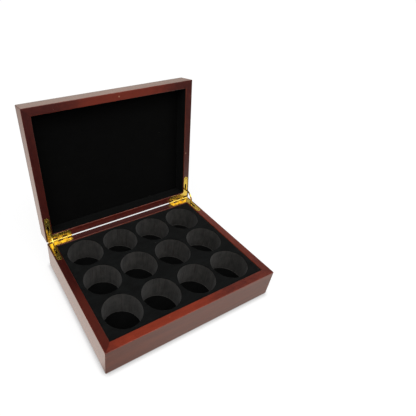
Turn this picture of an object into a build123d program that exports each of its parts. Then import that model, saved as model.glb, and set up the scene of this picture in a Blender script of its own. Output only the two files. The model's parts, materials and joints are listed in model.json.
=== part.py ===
from build123d import *
from math import asin, cos, degrees, radians, sin
import os

# Display box for golf balls, in millimetres, lid open.
# The origin is at the centre of the underside: +X right, +Y to the hinges, +Z up.

# Case
case_width = 220.0
case_depth = 168.0
base_height = 38.2
lid_height = 25.0
rail_thickness = 9.4
corner_radius = 0.8
top_edge_radius = 2.2
rim_ease = 0.5
foot_ease = 0.6
seam_gap = 0.5
lid_open_angle = 99.0

# Bottom of the base
felt_thickness = 1.0
felt_inset = 3.0
bottom_thickness = 4.0
bottom_rabbet = 4.5
floor_lining_thickness = 1.0
panel_clearance = 0.1

# Insert
well_diameter = 44.0
well_web = 4.4
well_margin = 3.0
velvet_thickness = 0.8
insert_below_rim = 0.6
insert_clearance = 0.4

# Lid boards and linings
lid_top_thickness = 6.0
lining_panel_thickness = 1.2
lining_thickness = 0.8
lining_below_rim = 0.9

# Hidden magnets in the front rims
magnet_radius = 3.0
magnet_thickness = 2.0
magnet_spacing = 145.0
magnet_clearance = 0.1
plug_thickness = 1.0
plug_proud = 0.1

# Hinge leaves
axis_behind_back = 0.35
leaf_thickness = 1.5
leaf_face_gap = 0.4
leaf_outer_margin = 2.0
leaf_inner_margin = 1.0
leaf_back_margin = 3.2
side_arm_length = 34.0
back_arm_length = 33.5
arm_end_radius = 3.5
arm_end_flat = 0.1
leaf_corner_radius = 1.2
leaf_inside_radius = 2.5
mortise_clearance = 0.15

# Hinge barrel
barrel_radius = 1.8
barrel_clearance = 0.3
pin_radius = 0.8
pin_clearance = 0.05
knuckle_count = 5
knuckle_gap = 0.15

# Stays
stay_radius = 14.5
stay_width = 2.2
stay_thickness = 1.2
stay_end_radius = 1.2
stay_end_length = 4.2
stay_stop_gap = 0.1
slot_width = 2.4
slot_clearance = 0.9
slot_far_end = 23.0
pocket_side_clearance = 0.3
pocket_end_clearance = 0.4

# Screws
screw_head_radius = 2.1
screw_head_height = 1.2
screw_shank_radius = 1.1
screw_length = 9.0
screw_clearance = 0.05
screw_cross_length = 2.4
screw_cross_width = 0.5
screw_cross_depth = 0.5
back_screw_near = 15.5
back_screw_far = 27.0

# How near two edges must be to count as one place
same_place = 0.01

# Places worked out from the sizes above
inner_width = case_width - 2 * rail_thickness
inner_depth = case_depth - 2 * rail_thickness
bottom_top = felt_thickness + bottom_thickness
well_floor = bottom_top + floor_lining_thickness
insert_top = base_height - insert_below_rim
lid_rim = base_height + seam_gap
lid_top = lid_rim + lid_height
lid_board = lid_top - lid_top_thickness
lining_face = lid_board - lining_panel_thickness
hinge_y = case_depth / 2 + axis_behind_back
hinge_z = base_height + seam_gap / 2

leaf_proud = (seam_gap - leaf_face_gap) / 2
leaf_top = base_height + leaf_proud
leaf_bottom = leaf_top - leaf_thickness
arm_width = rail_thickness - leaf_outer_margin - leaf_inner_margin
arm_inner = leaf_outer_margin + arm_width
arm_middle = leaf_outer_margin + arm_width / 2
back_arm_middle = (leaf_back_margin + arm_inner) / 2
side_screw = side_arm_length - arm_width / 2
knuckle_pitch = (back_arm_length - leaf_outer_margin) / knuckle_count

# The stay's end stops under the leaf when the lid is open, this far past the rim's plane
stay_end_drop = hinge_z - leaf_bottom + stay_end_radius + stay_stop_gap
stay_end_angle = degrees(asin(stay_end_drop / stay_radius))
stay_closed_angle = lid_open_angle / 2 + stay_end_angle
pocket_room = stay_end_radius + pocket_end_clearance
pocket_near = stay_radius * cos(radians(stay_closed_angle)) - pocket_room - axis_behind_back
pocket_floor = hinge_z - stay_radius * sin(radians(stay_closed_angle)) - pocket_room
slot_near_end = stay_radius - stay_width / 2 - axis_behind_back - slot_clearance

on_floor = (Align.CENTER, Align.CENTER, Align.MIN)
hanging = (Align.CENTER, Align.CENTER, Align.MAX)


def at_corner(inward, forward, height):
    """Place at the rear left corner: distances in from the side face and forward from the rear face."""
    return Pos(inward - case_width / 2, case_depth / 2 - forward, height)


def block(inward, forward, low, high):
    """A block between two distances inward, two forward and two heights, at the rear left corner."""
    size = (inward[1] - inward[0], forward[1] - forward[0], high - low)
    middle = at_corner((inward[0] + inward[1]) / 2, (forward[0] + forward[1]) / 2, low)
    return middle * Box(*size, align=on_floor)


def turn_over(piece):
    """The closed lid's twin of a piece of the base, mirrored in the middle of the seam."""
    return mirror(piece, about=Plane.XY.offset(hinge_z))


def other_side(piece):
    """The right-hand twin of a left-hand piece."""
    return mirror(piece, about=Plane.YZ)


def open_lid(piece):
    """Turn a piece of the closed lid about the hinge axis to where it stands open."""
    to_axis = Pos(0, hinge_y, hinge_z)
    return to_axis * Rot(X=-lid_open_angle) * Pos(0, -hinge_y, -hinge_z) * piece


# Rails

def rounded_block(low, high, low_ease, high_ease):
    """The case's outside between two heights, with rounded corners and eased ends."""
    body = Pos(0, 0, low) * Box(case_width, case_depth, high - low, align=on_floor)
    body = fillet(body.edges().filter_by(Axis.Z), corner_radius)
    if low_ease > 0:
        body = fillet(body.edges().group_by(Axis.Z)[0], low_ease)
    if high_ease > 0:
        body = fillet(body.edges().group_by(Axis.Z)[-1], high_ease)
    return body


def hollow(low, high, low_ease, high_ease, rim):
    """Four walls in one ring, with the inner edge of its rim eased."""
    ring = rounded_block(low, high, low_ease, high_ease)
    ring -= Pos(0, 0, low) * Box(inner_width, inner_depth, high - low, align=on_floor)
    rim_edges = ring.edges().filter_by_position(Axis.Z, rim - same_place, rim + same_place)
    half_x = inner_width / 2 + same_place
    half_y = inner_depth / 2 + same_place
    inside = rim_edges.filter_by_position(Axis.X, -half_x, half_x)
    inside = inside.filter_by_position(Axis.Y, -half_y, half_y)
    return fillet(inside, rim_ease)


def mitre_wedges():
    """The plan of each rail: a wedge cut at 45 degrees through the corners of the case."""
    reach = 2 * rail_thickness
    turns = [(-1, -1), (1, -1), (1, 1), (-1, 1)]
    outer = [(x * case_width / 2, y * case_depth / 2) for x, y in turns]
    inner = [(x * (case_width / 2 - reach), y * (case_depth / 2 - reach)) for x, y in turns]
    wedges = {}
    for index, side in enumerate(("front", "right", "back", "left")):
        following = (index + 1) % 4
        corners = [outer[index], outer[following], inner[following], inner[index]]
        wedges[side] = Polygon(*corners, align=None)
    return wedges


def rails(ring, low, high, cuts):
    """The ring split at its mitres, with the hinge and magnet cuts taken out."""
    parts = {}
    for side, plan in mitre_wedges().items():
        rail = ring & (Pos(0, 0, low) * extrude(plan, high - low))
        for cut in cuts:
            rail -= cut
        parts[side] = rail
    return parts


# Hinge leaves, worked out for the base at its rear left corner

def leaf_outline(grow):
    """The L-shaped plan of a leaf: a side arm with a round end and a back arm with one round corner."""
    x = -case_width / 2
    y = case_depth / 2
    left = x + leaf_outer_margin - grow
    right = x + back_arm_length + grow
    inner = x + arm_inner + grow
    rear = y - leaf_back_margin + grow
    front = y - arm_inner - grow
    tip = y - side_arm_length - grow
    side_arm = [(left, rear), (left, tip), (inner, tip), (inner, front)]
    plan = Polygon(*side_arm, (right, front), (right, rear), align=None)
    side_end_radius = arm_width / 2 - arm_end_flat + grow
    back_arm_width = arm_inner - leaf_back_margin
    back_end_radius = min(arm_end_radius, back_arm_width - leaf_corner_radius - arm_end_flat) + grow
    rounds = [
        ((right, front), back_end_radius),
        ((inner, front), leaf_inside_radius - grow),
        ((inner, tip), side_end_radius),
        ((left, tip), side_end_radius),
        ((left, rear), leaf_corner_radius),
        ((right, rear), leaf_corner_radius),
    ]
    for corner, radius in rounds:
        nearest = plan.vertices().sort_by_distance(Vector(*corner, 0))[0]
        plan = fillet(nearest, radius)
    return plan


def stay_slot(height, thickness):
    """The slot that the stay runs through, along the side arm."""
    length = slot_far_end - slot_near_end
    slot = Rot(Z=90) * SlotOverall(length, slot_width)
    place = at_corner(arm_middle, (slot_near_end + slot_far_end) / 2, height)
    return place * extrude(slot, thickness)


def screw_places():
    """Where the three screws of a leaf stand: inward and forward."""
    back_screws = [(inward, back_arm_middle) for inward in (back_screw_near, back_screw_far)]
    return [(arm_middle, side_screw)] + back_screws


def screw(grow):
    """A countersunk screw with its head's top at the origin, or with grow above 0 its hole."""
    head_top = screw_head_radius + grow
    shank = screw_shank_radius + grow
    head = Cone(shank, head_top, screw_head_height, align=hanging)
    body = head + Pos(0, 0, -screw_head_height) * Cylinder(shank, screw_length + grow, align=hanging)
    if grow == 0:
        for turn in (0, 90):
            cross = Box(screw_cross_length, screw_cross_width, screw_cross_depth, align=hanging)
            body -= Rot(Z=turn) * cross
    return body


def knuckle(index):
    """One rolled knuckle with the tongue that joins it to the plate."""
    start = leaf_outer_margin + index * knuckle_pitch + knuckle_gap / 2
    end = leaf_outer_margin + (index + 1) * knuckle_pitch - knuckle_gap / 2
    tongue_reach = (-axis_behind_back, leaf_back_margin + leaf_corner_radius)
    tongue = block((start, end), tongue_reach, leaf_bottom, leaf_top)
    axle = Pos((start + end) / 2 - case_width / 2, hinge_y, hinge_z) * Rot(Y=90)
    ring = axle * Cylinder(barrel_radius, end - start)
    bore = axle * Cylinder(pin_radius + pin_clearance, end - start + 2 * knuckle_gap)
    return tongue + ring - bore


def hinge_leaf(first_knuckle):
    """A leaf with every second knuckle, from the given one."""
    leaf = Pos(0, 0, leaf_bottom) * extrude(leaf_outline(0), leaf_thickness)
    for index in range(first_knuckle, knuckle_count, 2):
        leaf += knuckle(index)
    leaf -= stay_slot(leaf_bottom, leaf_thickness)
    for inward, forward in screw_places():
        leaf -= at_corner(inward, forward, leaf_top) * screw(screw_clearance)
    return leaf


def hinge_screws():
    """The three screws of a leaf, as separate solids."""
    return [at_corner(inward, forward, leaf_top) * screw(0) for inward, forward in screw_places()]


def hinge_pin():
    """The pin through all the knuckles."""
    length = back_arm_length - leaf_outer_margin
    middle = (back_arm_length + leaf_outer_margin) / 2 - case_width / 2
    return Pos(middle, hinge_y, hinge_z) * Rot(Y=90) * Cylinder(pin_radius, length)


def hinge_cuts():
    """What a hinge takes out of the rails: the leaf's bed, the barrel's groove, the pocket and pilots."""
    above = leaf_top + leaf_thickness
    bed = Pos(0, 0, leaf_bottom) * extrude(leaf_outline(mortise_clearance), above - leaf_bottom)
    ends = (leaf_outer_margin - mortise_clearance, back_arm_length + mortise_clearance)
    bed += block(ends, (-axis_behind_back, leaf_back_margin + leaf_corner_radius), leaf_bottom, above)
    middle = (ends[0] + ends[1]) / 2 - case_width / 2
    groove = Pos(middle, hinge_y, hinge_z) * Rot(Y=90)
    groove = groove * Cylinder(barrel_radius + barrel_clearance, ends[1] - ends[0])
    half_pocket = stay_end_length / 2 + pocket_side_clearance
    across = (arm_middle - half_pocket, arm_middle + half_pocket)
    pocket = block(across, (pocket_near, slot_far_end + pocket_end_clearance), pocket_floor, leaf_top)
    cuts = [bed, groove, pocket]
    for inward, forward in screw_places():
        cuts.append(at_corner(inward, forward, leaf_top) * screw(screw_clearance))
    return cuts


# Stays

def stay():
    """An arc about the hinge axis with a T-shaped end at each side of the two leaves."""
    middle_x = arm_middle - case_width / 2
    side_view = Plane(origin=(middle_x, hinge_y, hinge_z), x_dir=(0, -1, 0), z_dir=(-1, 0, 0))
    inside = stay_radius - stay_width / 2
    outside = stay_radius + stay_width / 2
    low = -stay_end_angle
    high = lid_open_angle + stay_end_angle
    reach = 2 * outside
    spokes = [radians(low), radians((low + high) / 2), radians(high)]
    fan = [(0, 0)] + [(reach * cos(angle), reach * sin(angle)) for angle in spokes]
    sector = (Circle(outside) - Circle(inside)) & Polygon(*fan, align=None)
    body = extrude(side_view * sector, stay_thickness / 2, both=True)
    for angle in (low, high):
        place = side_view.from_local_coords(
            Vector(stay_radius * cos(radians(angle)), stay_radius * sin(radians(angle)), 0)
        )
        body += Pos(*place) * Rot(Y=90) * Cylinder(stay_end_radius, stay_end_length)
    return body


# Magnets

def magnet_places():
    """The two magnets in the middle of the front rail."""
    y = rail_thickness / 2 - case_depth / 2
    return [Pos(x, y, base_height) for x in (-magnet_spacing / 2, magnet_spacing / 2)]


def magnet_holes():
    """The holes that the magnets and their plugs fill."""
    depth = plug_thickness + magnet_thickness
    hole = Cylinder(magnet_radius + magnet_clearance, depth, align=hanging)
    return [place * hole for place in magnet_places()]


def magnets():
    """Disc magnets under the plugs."""
    disc = Pos(0, 0, -plug_thickness) * Cylinder(magnet_radius, magnet_thickness, align=hanging)
    return [place * disc for place in magnet_places()]


def magnet_plugs():
    """Wooden plugs over the magnets, a hair proud of the rim."""
    plug = Pos(0, 0, plug_proud) * Cylinder(magnet_radius, plug_thickness + plug_proud, align=hanging)
    return [place * plug for place in magnet_places()]


# Base

left_cuts = hinge_cuts()
right_cuts = [other_side(cut) for cut in left_cuts]
base_cuts = left_cuts + right_cuts + magnet_holes()
lid_cuts = [turn_over(cut) for cut in base_cuts]

nodes = {}

base_ring = hollow(felt_thickness, base_height, foot_ease, rim_ease, base_height)
rabbet_width = inner_width + 2 * bottom_rabbet
rabbet_depth = inner_depth + 2 * bottom_rabbet
base_ring -= Pos(0, 0, felt_thickness) * Box(rabbet_width, rabbet_depth, bottom_thickness, align=on_floor)
for side, rail in rails(base_ring, felt_thickness, base_height, base_cuts).items():
    nodes[f"base_{side}_wall"] = rail

panel_width = rabbet_width - 2 * panel_clearance
panel_depth = rabbet_depth - 2 * panel_clearance
nodes["base_bottom_panel"] = Pos(0, 0, felt_thickness) * Box(
    panel_width, panel_depth, bottom_thickness, align=on_floor
)
nodes["base_bottom_felt"] = Box(
    case_width - 2 * felt_inset, case_depth - 2 * felt_inset, felt_thickness, align=on_floor
)
floor_width = inner_width - 2 * panel_clearance
floor_depth = inner_depth - 2 * panel_clearance
nodes["base_floor_lining"] = Pos(0, 0, bottom_top) * Box(
    floor_width, floor_depth, floor_lining_thickness, align=on_floor
)

# Insert: as many wells as fit, on a square grid in the middle
insert_width = inner_width - 2 * insert_clearance
insert_depth = inner_depth - 2 * insert_clearance
well_pitch = well_diameter + well_web
well_columns = int((insert_width - 2 * well_margin - well_diameter) // well_pitch) + 1
well_rows = int((insert_depth - 2 * well_margin - well_diameter) // well_pitch) + 1


def insert_layer(low, high):
    """A layer of the insert with its wells cut through."""
    layer = Pos(0, 0, low) * Box(insert_width, insert_depth, high - low, align=on_floor)
    wells = GridLocations(well_pitch, well_pitch, well_columns, well_rows)
    for place in wells:
        layer -= Pos(0, 0, low) * place * Cylinder(well_diameter / 2, high - low, align=on_floor)
    return layer


nodes["foam_insert"] = insert_layer(well_floor, insert_top - velvet_thickness)
nodes["insert_velvet_top"] = insert_layer(insert_top - velvet_thickness, insert_top)
nodes["base_closure_magnets"] = magnets()
nodes["base_magnet_plugs"] = magnet_plugs()

# The two hinges are one part turned over: the left one has its pair of knuckles on the base,
# and the right one has them on the lid
nodes["base_left_hinge_leaf"] = hinge_leaf(1)
nodes["base_right_hinge_leaf"] = other_side(hinge_leaf(0))
nodes["base_left_hinge_screws"] = hinge_screws()
nodes["base_right_hinge_screws"] = [other_side(piece) for piece in hinge_screws()]
nodes["left_hinge_pin"] = hinge_pin()
nodes["right_hinge_pin"] = other_side(hinge_pin())

# Lid, closed at first
lid = {}
lid_ring = hollow(lid_rim, lid_board, rim_ease, 0, lid_rim)
for side, rail in rails(lid_ring, lid_rim, lid_board, lid_cuts).items():
    lid[f"lid_{side}_wall"] = rail

top = Pos(0, 0, lid_board) * Box(case_width, case_depth, lid_top_thickness, align=on_floor)
top = fillet(top.edges().group_by(Axis.Z)[-1], top_edge_radius)
top = fillet(top.edges().filter_by(Axis.Z), corner_radius)
for cut in lid_cuts:
    top -= cut
lid["lid_top_panel"] = top
lid["lid_lining_panel"] = Pos(0, 0, lining_face) * Box(
    inner_width, inner_depth, lining_panel_thickness, align=on_floor
)

lining_low = lid_rim + lining_below_rim
lining_height = lining_face - lining_low
long_strip = Box(inner_width, lining_thickness, lining_height, align=on_floor)
short_strip = Box(lining_thickness, inner_depth - 2 * lining_thickness, lining_height, align=on_floor)
strip_x = (inner_width - lining_thickness) / 2
strip_y = (inner_depth - lining_thickness) / 2
lid["lid_front_lining"] = Pos(0, -strip_y, lining_low) * long_strip
lid["lid_back_lining"] = Pos(0, strip_y, lining_low) * long_strip
lid["lid_left_lining"] = Pos(-strip_x, 0, lining_low) * short_strip
lid["lid_right_lining"] = Pos(strip_x, 0, lining_low) * short_strip

lid["lid_closure_magnets"] = [turn_over(piece) for piece in magnets()]
lid["lid_magnet_plugs"] = [turn_over(piece) for piece in magnet_plugs()]
lid["lid_left_hinge_leaf"] = turn_over(hinge_leaf(0))
lid["lid_right_hinge_leaf"] = turn_over(other_side(hinge_leaf(1)))
lid["lid_left_hinge_screws"] = [turn_over(piece) for piece in hinge_screws()]
lid["lid_right_hinge_screws"] = [turn_over(other_side(piece)) for piece in hinge_screws()]

for name, piece in lid.items():
    if isinstance(piece, list):
        nodes[name] = [open_lid(single) for single in piece]
    else:
        nodes[name] = open_lid(piece)

# Stays, where they stand with the lid open
nodes["left_stay"] = stay()
nodes["right_stay"] = other_side(stay())

# One file a node
os.makedirs("parts", exist_ok=True)
for name, piece in nodes.items():
    whole = Compound(children=piece) if isinstance(piece, list) else piece
    export_step(whole, f"parts/{name}.step")
print(len(nodes), "nodes,", well_columns, "by", well_rows, "wells")
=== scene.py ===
import json
import math
from functools import partial

import bmesh
import bpy
import numpy as np
from bpy.props import FloatProperty, FloatVectorProperty, IntProperty, PointerProperty
from mathutils import Matrix, Vector


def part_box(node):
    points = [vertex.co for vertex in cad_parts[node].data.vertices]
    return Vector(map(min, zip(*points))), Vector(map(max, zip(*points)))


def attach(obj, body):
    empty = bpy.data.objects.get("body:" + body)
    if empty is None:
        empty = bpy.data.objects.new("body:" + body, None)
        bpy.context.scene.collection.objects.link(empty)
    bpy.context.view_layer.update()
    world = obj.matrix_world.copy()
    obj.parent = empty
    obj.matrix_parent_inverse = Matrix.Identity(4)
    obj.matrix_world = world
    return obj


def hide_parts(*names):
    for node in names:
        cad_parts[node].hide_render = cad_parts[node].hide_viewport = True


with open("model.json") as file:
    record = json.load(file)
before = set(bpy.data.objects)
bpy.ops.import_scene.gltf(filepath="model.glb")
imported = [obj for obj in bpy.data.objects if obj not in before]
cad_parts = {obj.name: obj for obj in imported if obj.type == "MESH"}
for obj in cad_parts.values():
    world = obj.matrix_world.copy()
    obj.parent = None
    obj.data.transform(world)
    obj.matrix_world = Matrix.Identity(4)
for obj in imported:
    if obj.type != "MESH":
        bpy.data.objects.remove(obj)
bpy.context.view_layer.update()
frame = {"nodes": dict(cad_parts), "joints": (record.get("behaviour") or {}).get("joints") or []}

bl_info = {
    "name": "Golf Ball Display Box",
    "version": (1, 0, 0),
    "blender": (4, 5, 0),
    "location": "3D View > Sidebar > Display Box",
    "description": "Dresses a hinged wooden display box in stained wood, die-cut foam, velvet and brass",
    "category": "Object",
}

# Everything is in metres, with the lid open as it stands at rest
MM = 0.001

lid_joint = next(joint for joint in frame["joints"] if joint["name"] == "lid_hinge")
hinge_axis = np.array(lid_joint["pos_m"])
lid_open_angle = math.radians(lid_joint["range_deg"][1])

# The highest corner of the base, and the heights of both rims when the lid is closed
case_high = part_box("base_back_wall")[1]
base_rim = case_high.z
lid_rim = 2 * hinge_axis[2] - base_rim

# The Mix node's sockets, whose names repeat: the factor, the two numbers and the two colours
FACTOR, NUMBER_A, NUMBER_B, COLOUR_A, COLOUR_B = 0, 2, 3, 6, 7
BLACK = (0, 0, 0, 1)
WHITE = (1, 1, 1, 1)

# Points closer than this are merged, and edges sharper than this stay sharp
MERGE_DISTANCE = 0.002 * MM
SHARP_ANGLE = math.radians(50)

# Each quarter of a well has this many steps, and so has each side of the rectangle around it. They are
# counted in quarter turns from the front left corner, and then given as angles from the right
STEPS_A_SIDE = 34
WELL_TURNS = np.arange(4 * STEPS_A_SIDE) / STEPS_A_SIDE
WELL_ANGLES = (WELL_TURNS - 1.5) * np.pi / 2


def linear(code):
    """A colour written as sRGB hex, such as #52281F, turned to linear red, green, blue and alpha."""
    values = [int(code[start:start + 2], 16) / 255 for start in (1, 3, 5)]
    turned = [v / 12.92 if v <= 0.04045 else ((v + 0.055) / 1.055) ** 2.4 for v in values]
    return (*turned, 1.0)


def colour_property(name, description, code):
    """A colour that a user may change, with its default written as sRGB hex."""
    return FloatVectorProperty(
        name=name, description=description, default=linear(code), size=4, min=0, max=1, subtype="COLOR"
    )


def length_property(name, description, default):
    """A length in metres that a user may change."""
    return FloatProperty(
        name=name, description=description, default=default, min=0, subtype="DISTANCE", unit="LENGTH"
    )


class BoxSizes(bpy.types.PropertyGroup):
    """The sizes of the soft parts and of the patterns on them"""

    well_diameter: length_property("Well diameter", "Across one well", 44 * MM)
    well_pitch: length_property("Well pitch", "From one well's middle to the next", 48.4 * MM)
    well_columns: IntProperty(name="Well columns", description="Wells from left to right", default=4, min=1)
    well_rows: IntProperty(name="Well rows", description="Wells from front to back", default=3, min=1)
    velvet_lip: length_property("Velvet lip", "Rounding of the velvet at a well's mouth", 0.7 * MM)
    wall_wobble: length_property("Wall wobble", "How far a cut foam wall wanders", 0.22 * MM)
    crease_depth: length_property("Crease depth", "Depth of the knife marks down a well's wall", 0.3 * MM)
    board_edge: length_property("Board edge", "Rounding of a velvet-covered board's edge", 0.5 * MM)
    board_crown: length_property("Board crown", "Rise of the velvet in the middle of a board", 0.12 * MM)


class BoxColours(bpy.types.PropertyGroup):
    """The colours of each finish"""

    stain_dark: colour_property("Dark stain", "Darkest bands of the outer veneer", "#4F2418")
    stain_light: colour_property("Light stain", "Lightest bands of the outer veneer", "#7C3F2C")
    rim_dark: colour_property("Dark rim", "Darkest bands of the sanded rims", "#511812")
    rim_light: colour_property("Light rim", "Lightest bands of the sanded rims", "#772C1E")
    # Partly a deeper stain, partly painted shade on rails whose grain gives back less light
    deep_stain_and_shade: colour_property("Deep stain", "Rails that took the stain deepest", "#2C0909")
    # Also painted warm light on the outer faces
    warm_stain_and_light: colour_property("Warm stain", "Where the front rails took the least stain", "#AE3E20")
    # Along rounded edges that face up or down: stain rubbed thin, with a painted highlight
    worn_and_lit_edge: colour_property("Worn edge", "Stain rubbed thin along the rounded edges", "#A8482C")
    chip: colour_property("Chip", "Bare wood where the rim is chipped", "#B98A6A")
    # Also painted shade in the foam's cells and along its creases
    pore_and_shade: colour_property("Pore", "Stain settled in the open pores", "#1E0C09")
    brass: colour_property("Brass", "Polished brass", "#E5C75B")
    # Painted shade in the corners and painted dark reflections in patches
    brass_painted_dark: colour_property("Brass tarnish", "Where the polish doesn't reach", "#593007")
    velvet: colour_property("Velvet", "Pile of the black velvet", "#0A0B0B")
    velvet_brushed: colour_property("Brushed velvet", "Pile brushed towards the light", "#1B1D1D")
    velvet_backing: colour_property("Velvet backing", "Cut edge of the velvet's backing", "#55534E")
    foam: colour_property("Foam", "Die-cut wall of the foam", "#1F1F1D")
    foam_light: colour_property("Foam streak", "Lighter streaks of the foam", "#383633")
    lint: colour_property("Lint", "Specks of lint on the velvet", "#8C8A84")
    magnet: colour_property("Magnet", "Nickel plating", "#B8B8B4")


# Materials

def add_node(owner, kind, inputs=None, **settings):
    """Add a node to a material or a world.

    Settings are its own properties. Inputs map a socket's name, or its number, to a value or what feeds it.
    """
    tree = owner.node_tree
    node = tree.nodes.new("ShaderNode" + kind)
    for name, value in settings.items():
        setattr(node, name, value)
    for name, value in (inputs or {}).items():
        if isinstance(value, bpy.types.Node):
            value = next(output for output in value.outputs if output.enabled)
        if isinstance(value, bpy.types.NodeSocket):
            tree.links.new(value, node.inputs[name])
        else:
            node.inputs[name].default_value = value
    return node


def new_material(name):
    """An empty material, and the function that adds nodes to it."""
    material = bpy.data.materials.new(name)
    material.use_nodes = True
    material.node_tree.nodes.clear()
    return material, partial(add_node, material)


def place_when_closed(add, on_lid):
    """A surface's place in millimetres and its normal, with a piece of the lid turned back as if closed."""
    angle = lid_open_angle if on_lid else 0.0
    turn = Matrix.Rotation(angle, 3, "X")
    axis = Vector(hinge_axis)
    here = add("TexCoord")
    place = add("Mapping", {
        "Vector": here.outputs["Object"],
        "Location": (axis - turn @ axis) / MM,
        "Rotation": (angle, 0, 0),
        "Scale": (1 / MM, 1 / MM, 1 / MM),
    })
    normal = add("Mapping", {
        "Vector": here.outputs["Normal"], "Rotation": (angle, 0, 0),
    }, vector_type="VECTOR")
    return place, normal


def stained_wood(name, grain_along, on_lid, seed, depth=0.0, pale=0.0, warm_rim=0.0, painted_warm_light=0.0,
                 warm_at=0.0):
    """Close-grained hardwood, sanded, stained red-brown and sprayed with satin lacquer.

    The eye sees fine straight grain with dark pores, a redder sanded rim, edges where the stain is rubbed
    thin, with a painted highlight on those that face up or down, a dark hairline at each mitre, and a soft
    pale sheen from the lacquer.

    Depth is how far the rim's colour goes towards the deepest, partly a deeper stain and partly painted
    shade where the grain gives back less light. Pale lightens the outer faces with painted light. Around
    warm_at, in millimetres along the grain, the rim's stain is thinner by warm_rim, and painted_warm_light
    paints warm light on the outer faces.
    """
    colours = bpy.context.scene.box_colours
    material, add = new_material(name)
    place, normal = place_when_closed(add, on_lid)

    # Growth bands stand about 5 mm apart. Fibres and pores are finer than a pixel, so they are drawn coarser:
    # fibres 0.9 mm apart and pores 0.45 mm wide. Sanding leaves the rims mottled in spots of about 4 mm. Each
    # row is the length of a lump along the grain and across it in millimetres, then the finer detail, its
    # roughness and the bending of the noise
    patterns = (
        (110, 5.5, 4, 0.5, 0.6), (24, 0.9, 4, 0.65, 0.0), (5, 0.45, 2, 0.5, 0.0), (30, 20, 2, 0.5, 0.0),
        (7, 4, 3, 0.6, 0.3),
    )
    noises = []
    for run, across, detail, roughness, bending in patterns:
        lengths = (run, across, across) if grain_along == "X" else (across, run, across)
        scaled = add("Mapping", {"Vector": place, "Scale": tuple(1 / length for length in lengths)})
        noises.append(add("TexNoise", {
            "Vector": scaled, "W": seed + 4 * len(noises), "Scale": 1,
            "Detail": detail, "Roughness": roughness, "Distortion": bending,
        }, noise_dimensions="4D"))
    bands, fibres, pores, blotches, mottle = noises

    # Outside, the bands and the fibres make the figure. On the rims the mottle joins them
    half_fibres = add("Math", {0: fibres, 1: 0.45}, operation="MULTIPLY")
    figure = add("Math", {0: bands, 1: 0.55, 2: half_fibres}, operation="MULTIPLY_ADD")
    tone = add("MapRange", {
        "Value": figure, "From Min": 0.18, "From Max": 0.82,
    }, interpolation_type="SMOOTHSTEP")
    # Pale paints light onto the outer faces
    outer_tone = add("Math", {0: tone, 1: pale}, operation="ADD", use_clamp=True)
    outer = add("Mix", {
        FACTOR: outer_tone, COLOUR_A: colours.stain_dark, COLOUR_B: colours.stain_light,
    }, data_type="RGBA")
    spotted = add("Math", {0: mottle, 1: 0.6}, operation="MULTIPLY")
    spotted = add("Math", {0: figure, 1: 0.4, 2: spotted}, operation="MULTIPLY_ADD")
    rim_tone = add("MapRange", {"Value": spotted, "From Min": 0.36, "From Max": 0.64})
    rim = add("Mix", {
        FACTOR: rim_tone, COLOUR_A: colours.rim_dark, COLOUR_B: colours.rim_light,
    }, data_type="RGBA")
    # Partly a deeper stain, partly painted shade where the grain gives back less light
    rim = add("Mix", {FACTOR: depth, COLOUR_A: rim, COLOUR_B: colours.deep_stain_and_shade}, data_type="RGBA")

    # On the rim the stain is thinner in a patch that reaches 36 mm to either side and fades out by 82 mm,
    # and on the outer faces the same patch is painted warm light. The blotches move its edge by up to 30 mm
    edge_wander = 60.0
    x, y, z = add("SeparateXYZ", {0: place}).outputs
    along = x if grain_along == "X" else y
    wander = add("Math", {0: blotches, 1: edge_wander, 2: along}, operation="MULTIPLY_ADD")
    from_patch = add("Math", {0: wander, 1: edge_wander / 2 + warm_at}, operation="SUBTRACT")
    patch = add("MapRange", {
        "Value": add("Math", {0: from_patch}, operation="ABSOLUTE"), "From Min": 82, "From Max": 36,
    }, interpolation_type="SMOOTHSTEP")
    on_top = add("Math", {0: patch, 1: warm_rim}, operation="MULTIPLY")
    rim = add("Mix", {FACTOR: on_top, COLOUR_A: rim, COLOUR_B: colours.warm_stain_and_light}, data_type="RGBA")
    # On the outer faces the patch is painted warm light
    outside = add("Math", {0: patch, 1: painted_warm_light}, operation="MULTIPLY")
    outer = add("Mix", {FACTOR: outside, COLOUR_A: outer, COLOUR_B: colours.warm_stain_and_light}, data_type="RGBA")

    # The rim is the sanded top of the base's rails, and the underside of the lid's when it is closed. Its
    # stain ends on the rounded edge, between 0.2 and 0.75 mm from the rim
    rim_height = (lid_rim if on_lid else base_rim) / MM
    inward = 1 if on_lid else -1
    on_rim = add("MapRange", {
        "Value": z, "From Min": rim_height + inward * 0.75, "From Max": rim_height + inward * 0.2,
    })
    colour = add("Mix", {FACTOR: on_rim, COLOUR_A: outer, COLOUR_B: rim}, data_type="RGBA")

    # A rounded edge is where the normal leaves all three axes. Those that face up or down show stain rubbed
    # thin with a painted highlight; upright ones show neither
    facing_x, facing_y, facing_z = add("SeparateXYZ", {
        0: add("VectorMath", {0: normal}, operation="ABSOLUTE"),
    }).outputs
    widest = add("Math", {0: facing_x, 1: facing_y}, operation="MAXIMUM")
    widest = add("Math", {0: widest, 1: facing_z}, operation="MAXIMUM")
    rounded = add("MapRange", {"Value": widest, "From Min": 0.99, "From Max": 0.84})
    uneven = add("MapRange", {
        "Value": blotches, "From Min": 0.25, "From Max": 0.7, "To Min": 0.15, "To Max": 0.65,
    })
    rubbed = add("Math", {0: rounded, 1: uneven}, operation="MULTIPLY")
    facing_up_or_down = add("MapRange", {"Value": facing_z, "From Min": 0.15, "From Max": 0.4})
    rubbed = add("Math", {0: rubbed, 1: facing_up_or_down}, operation="MULTIPLY")
    colour = add("Mix", {FACTOR: rubbed, COLOUR_A: colour, COLOUR_B: colours.worn_and_lit_edge}, data_type="RGBA")

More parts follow.
